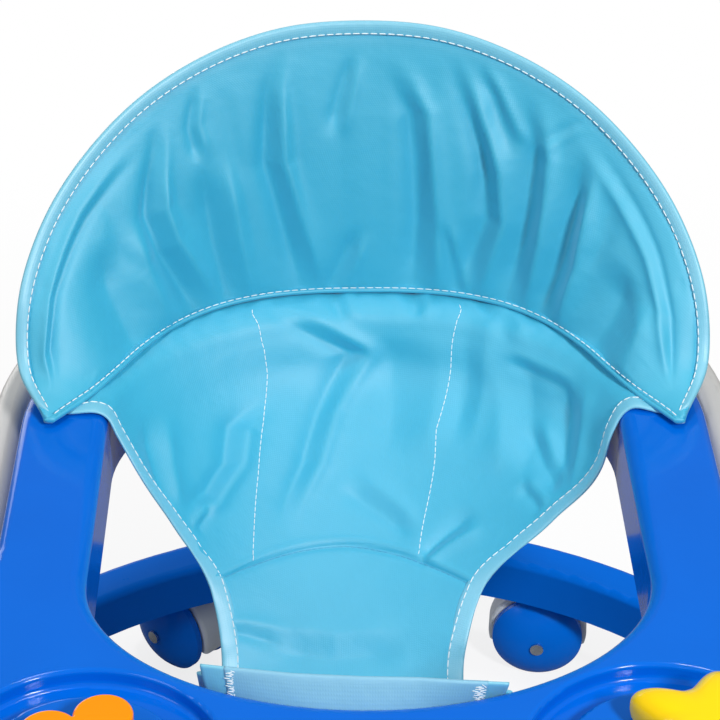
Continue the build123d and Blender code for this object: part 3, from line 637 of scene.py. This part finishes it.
rows = [both_sides(pad_seam, u_sling * sling_side) - (0, 0, sling_drop)]
rows[0][:, 1] += pad_left_back * np.clip(-u_sling * sling_side, 0, 1) ** pad_left_power
for z, centre_y, left_x, right_x, depth, power in sling_levels:
    y = centre_y + depth * np.abs(np.cos(turn)) ** power
    rows.append(np.stack([spread(left_x, right_x), y, np.full_like(turn, z)], axis=-1))
for y, z, left_x, right_x in strip_rows:
    z = z + strip_edge_lift * np.sin(turn) ** 4
    rows.append(np.stack([spread(left_x, right_x), np.full_like(turn, y), z], axis=-1))
hem_x, hem_y = np.array(hem_line, float).T
x = spread(hem_x[0], hem_x[-1])
y = np.interp(x, hem_x, hem_y) + hem_sling_back
rows.append(np.stack([x, y, np.full_like(turn, hem_top_z - hem_sling_drop)], axis=-1))
rows = np.array(rows)
knots = lengths(rows[:, middle:middle + 1], 0)[:, 0]
v_sling = np.linspace(0, knots[-1], sling_down_count)
plain = through(knots, rows.reshape(len(rows), -1), v_sling).reshape(len(v_sling), len(u_sling), 3)

# Creases of the sling: (mm across from the middle, mm down from the seam), widths, depth. The gain
# multiplies the depths
sling_half_run = 130
sling_crease_gain = 1.3
sling_creases = [
    ([(-100, 34), (-110, 50), (-116, 66), (-124, 95)], 8, 9, 4),
    ([(-40, 60), (-61, 69), (-67, 88), (-82, 98), (-108, 96)], 6, 7, 3.6),
    ([(-106, 118), (-82, 108)], 4, 3, 1.6),
    ([(-36, 4), (-24, 21), (-6, 40), (-14, 58), (-20, 75), (-27, 105), (-46, 145)], 4, 6, 3.2),
    ([(-9, -4), (-7, 22)], 3, 2, 1.5),
    ([(18, -4), (18, 20)], 3, 2, 1.5),
    ([(-10, 122), (10, 135), (42, 152)], 7, 5, 2),
    ([(-110, 200), (-80, 208), (-40, 222)], 6, 6, 1.6),
    ([(-60, 222), (-6, 231), (50, 226)], 9, 9, 2),
    ([(36, -4), (39, 40), (42, 95)], 5, 5, 1.6),
    ([(40, -4), (56, 28)], 4, 4, 1.2),
    ([(52, 33), (69, 35), (92, 34)], 4, 4, 1.6),
    ([(82, 25), (93, 57), (110, 88)], 9, 8, 4),
    ([(70, 63), (90, 78), (112, 86)], 5, 5, 2.6),
    ([(82, 96), (112, 100)], 4, 4, 1.8),
    ([(70, 120), (47, 166)], 7, 3, 2.6),
    ([(45, 25), (70, 100)], 9, 9, -2.6),
    ([(8, 20), (12, 70), (14, 110)], 10, 10, 2.4),
    ([(-160, 155), (-64, 160), (0, 161), (50, 164), (160, 166)], 2.2, 2.2, 1.5)]
# Puckers along the seam with the pad, one every 9 mm
pucker_pitch = 9
pucker_depth = 0.7
pucker_reach = 7
pucker_start = 2
across = u_sling[None] * sling_half_run
down = v_sling[:, None]
puckers = pucker_depth * np.sin(2 * np.pi * across / pucker_pitch) * np.exp(-down / pucker_reach)
puckers = puckers * (1 - np.exp(-down / pucker_start))
folds = sling_crease_gain * folded(sling_creases, across, down) + puckers
# The taped edges hold the cloth straight
folds = folds * (1 - np.abs(u_sling[None]) ** 6)
# The normals point up into the seat
lift = grid_normals(plain)
lift = lift * np.sign(lift[len(v_sling) // 4, middle, 2])
sling_grid = plain + lift * folds[..., None]
sling_uv = np.stack([lengths(sling_grid, 1) - lengths(sling_grid, 1)[:, middle:middle + 1],
                     lengths(sling_grid, 0)], axis=-1)
sling = dress(surface("seat_sling", sling_grid, uv=sling_uv), seat_blue)
wall = sling.modifiers.new("cloth", "SOLIDIFY")
wall.thickness = cloth_thickness * MM
wall.offset = 0
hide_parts("seat_bucket", "seat_hem", "seat_strip")

# Tape along the leg openings, and the stitches on it
for side, column, step in (("left", 0, 1), ("right", -1, -1)):
    path = sling_grid[:, column]
    across = unit(plain[:, column + edge_tape_columns * step] - path)
    out = lift[:, column]
    tape_path = path + across * edge_tape_width * edge_tape_middle
    tape = swept("leg_opening_tape_" + side, tape_path, across, out, edge_tape_width / 2, edge_tape_half)
    dress(outward(tape), tape_blue)
    stitch_path = path + across * edge_tape_width * edge_tape_stitch
    stitch_path = stitch_path + out * edge_tape_half * edge_stitch_out
    dress(stitches("leg_opening_stitches_" + side, stitch_path, out), white_thread)

# Sewn lines on the seat, (mm across, mm down): two upright seams and the cross seam of the strip
sewn_lines = {"left_seam": ([(-37, 5), (-37, 32), (-39, 46), (-51, 104), (-66, 160)], white_thread),
              "right_seam": ([(33, 4), (33, 84), (48, 163)], white_thread),
              "cross_seam": ([(-122, 156), (-64, 160), (0, 161), (50, 164), (122, 165)], blue_thread)}
sewn_count = 200
for name, (line, thread) in sewn_lines.items():
    line = np.array(line, float)
    share = np.linspace(0, 1, sewn_count)
    run = lengths(line[:, None], 0)[:, 0]
    run = run / run[-1]
    # The line's place in the grid, and the surface there by weights a and b between four grid points
    j = np.interp(np.interp(share, run, line[:, 0]) / sling_half_run, u_sling, np.arange(len(u_sling)))
    i = np.interp(np.interp(share, run, line[:, 1]), v_sling, np.arange(len(v_sling)))
    i0 = np.clip(i.astype(int), 0, len(v_sling) - 2)
    j0 = np.clip(j.astype(int), 0, len(u_sling) - 2)
    a, b = (i - i0)[:, None], (j - j0)[:, None]
    path = ((1 - a) * (1 - b) * sling_grid[i0, j0] + a * (1 - b) * sling_grid[i0 + 1, j0]
            + (1 - a) * b * sling_grid[i0, j0 + 1] + a * b * sling_grid[i0 + 1, j0 + 1])
    out = lift[i0, j0]
    sewn = stitches("seat_" + name, path + out * cloth_thickness * sewn_out, out, fine_stitch)
    dress(sewn, thread)

# Front hem flap: from its top edge down inside the tray's lip, with zigzag tacks near its ends
x_hem = np.linspace(hem_x[0], hem_x[-1], hem_count)
hem_top = np.stack([x_hem, np.interp(x_hem, hem_x, hem_y), np.full_like(x_hem, hem_top_z)], axis=-1)
hem_low_y = lip_centre_y - lip_depth * np.sqrt(1 - (x_hem / lip_half_x) ** 2)
hem_low_x = x_hem * hem_low_share - hem_low_shift
hem_low = np.stack([hem_low_x, hem_low_y, np.full_like(x_hem, hem_low_z)], axis=-1)
hem_across = unit(hem_top - hem_low)
hem_out = unit(np.cross(np.gradient(hem_top, axis=0), hem_across))
hem_out = hem_out * -np.sign(hem_out[:, 1:2])
hem_half = np.linalg.norm(hem_top - hem_low, axis=-1) / 2
hem_middle = (hem_top + hem_low) / 2
for name, (first, last, half), cloth in (("front_hem_flap", flap_span, hem_blue),
                                         ("front_hem_tab_left", left_tab_span, tape_blue),
                                         ("front_hem_tab_right", right_tab_span, tape_blue)):
    part = slice(first, last)
    band = swept(name, hem_middle[part], hem_across[part], hem_out[part], hem_half[part], half, square=0.45)
    dress(outward(band), cloth)
for name, column in (("left", left_tack), ("right", right_tack)):
    share = np.linspace(tack_start, tack_end, tack_count)[:, None]
    sway = np.where(np.arange(tack_count) % 2, tack_sway, -tack_sway)[:, None] * (1, 0, 0)
    tack = hem_top[column] * (1 - share) + hem_low[column] * share + sway + hem_out[column] * tack_out
    out = np.broadcast_to(hem_out[column], tack.shape)
    dress(stitches("front_hem_tack_" + name, tack, out, fine_stitch), white_thread)


def puffy_star():
    """Blown star: reach r(a) between waist and tip by ((1 + cos 5a)/2)^1.4, and over the fraction f of
    the reach a height of 0.42 + 0.58(1 - f^4)^0.5 of the full one, rounded back in below to a flat foot."""
    a = np.linspace(0, 2 * np.pi, star_around_count + 1)[:-1]
    lobe = (1 + np.cos(5 * (a - np.radians(star_turn)))) / 2
    reach = star_waist + (star_reach - star_waist) * lobe ** 1.4
    f = np.concatenate([np.linspace(0.02, 0.9, 14), 0.9 + 0.1 * np.sin(np.linspace(0, np.pi / 2, 9))[1:]])
    top = star_height * (0.42 + 0.58 * np.sqrt(np.clip(1 - f ** 4, 0, 1)))
    rim_reach, rim_height = np.array(star_rim).T
    f = np.concatenate([f, rim_reach])
    z = np.concatenate([top, star_height * rim_height])
    x = star_centre[0] + f[:, None] * reach * np.cos(a)
    y = star_centre[1] + f[:, None] * reach * np.sin(a)
    grid = np.stack([x, y, np.broadcast_to(star_foot_z + z[:, None], x.shape)], axis=-1)
    return outward(surface("star_puff", grid, wrap=True, caps=True))


star = dress(puffy_star(), star_yellow, "star")
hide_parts("star_spinner")


def pale_floor():
    """Matt pale floor: to the camera four fifths plain white near the part, with the rest of its shading
    left for the shadow, and all white from 1.1 m on. To other rays it is a mid grey, so that glossy
    sides show little of it."""
    made, tree, shader = new_material("floor matt white", {"Roughness": 0.9, "Specular IOR Level": 0.1})
    rays = add(tree, "ShaderNodeLightPath")
    tone = add(tree, "ShaderNodeMix", {"data_type": "RGBA"}, {"Factor": (rays, "Is Camera Ray")})
    tone.inputs["A"].default_value = linear("#9c9c9c")
    tone.inputs["B"].default_value = linear("#ffffff")
    tree.links.new(tone.outputs["Result"], shader.inputs["Base Color"])
    place = add(tree, "ShaderNodeTexCoord")
    away = add(tree, "ShaderNodeVectorMath", {"operation": "LENGTH"}, {0: (place, "Object")})
    clear = add(tree, "ShaderNodeMapRange", None,
                {"Value": (away, "Value"), "From Min": 0.4, "From Max": 1.1, "To Min": 0.8, "To Max": 1.0})
    share = add(tree, "ShaderNodeMath", {"operation": "MULTIPLY"},
                {0: (rays, "Is Camera Ray"), 1: (clear, "Result")})
    white = add(tree, "ShaderNodeEmission")
    mix = add(tree, "ShaderNodeMixShader", None,
              {"Fac": (share, "Value"), 1: (shader, "BSDF"), 2: (white, "Emission")})
    tree.links.new(mix.outputs["Shader"], tree.nodes["Material Output"].inputs["Surface"])
    return made


# Floor, 60 m to each side so that its edge isn't seen
floor_reach = 60000
floor_side = np.array([-floor_reach, floor_reach], float)
floor_grid = np.stack([*np.meshgrid(floor_side, floor_side), np.zeros((2, 2))], axis=-1)
floor = surface("floor", floor_grid)
floor.data.materials.append(pale_floor())

# World: white to the camera, and a plain fill light otherwise
world = bpy.data.worlds.new("studio")
world.use_nodes = True
bpy.context.scene.world = world
sky = world.node_tree
sky.nodes.clear()
rays = add(sky, "ShaderNodeLightPath")
level = add(sky, "ShaderNodeMapRange", None,
            {"Value": (rays, "Is Camera Ray"), "To Min": 0.32, "To Max": 1.0})
back = add(sky, "ShaderNodeBackground", None, {"Color": (1, 1, 1, 1), "Strength": (level, "Result")})
add(sky, "ShaderNodeOutputWorld", None, {"Surface": (back, "Background")})


# Point that the lights are turned towards
light_aim = (0, 0.05, 0.35)


def softbox(name, place, size, power):
    """A square soft light at a place, turned towards the seat."""
    light = bpy.data.lights.new(name, "AREA")
    light.size = size
    light.energy = power
    made = bpy.data.objects.new(name, light)
    made.location = place
    made.rotation_euler = (Vector(light_aim) - Vector(place)).to_track_quat("-Z", "Y").to_euler()
    bpy.context.collection.objects.link(made)


softbox("key softbox", (0.95, -1.5, 1.75), 0.3, 38)
softbox("fill softbox", (-1.5, -0.9, 1.6), 1.0, 11)
softbox("top softbox", (0.1, 0.4, 2.7), 0.3, 14)
softbox("back softbox", (-1.0, 2.2, 0.7), 1.2, 12)

# Camera of the photograph: its place, and the direction back towards it
camera = bpy.data.cameras.new("camera")
camera.lens = 117.74
camera.sensor_width = 36
camera_place = (-0.0194, -1.010, 1.0854)
camera_back = (-0.01326, -0.8442, 0.5358)
viewer = bpy.data.objects.new("camera", camera)
viewer.location = camera_place
viewer.rotation_euler = (-Vector(camera_back)).to_track_quat("-Z", "Y").to_euler()
bpy.context.collection.objects.link(viewer)
bpy.context.scene.camera = viewer
bpy.context.scene.view_settings.view_transform = "Standard"
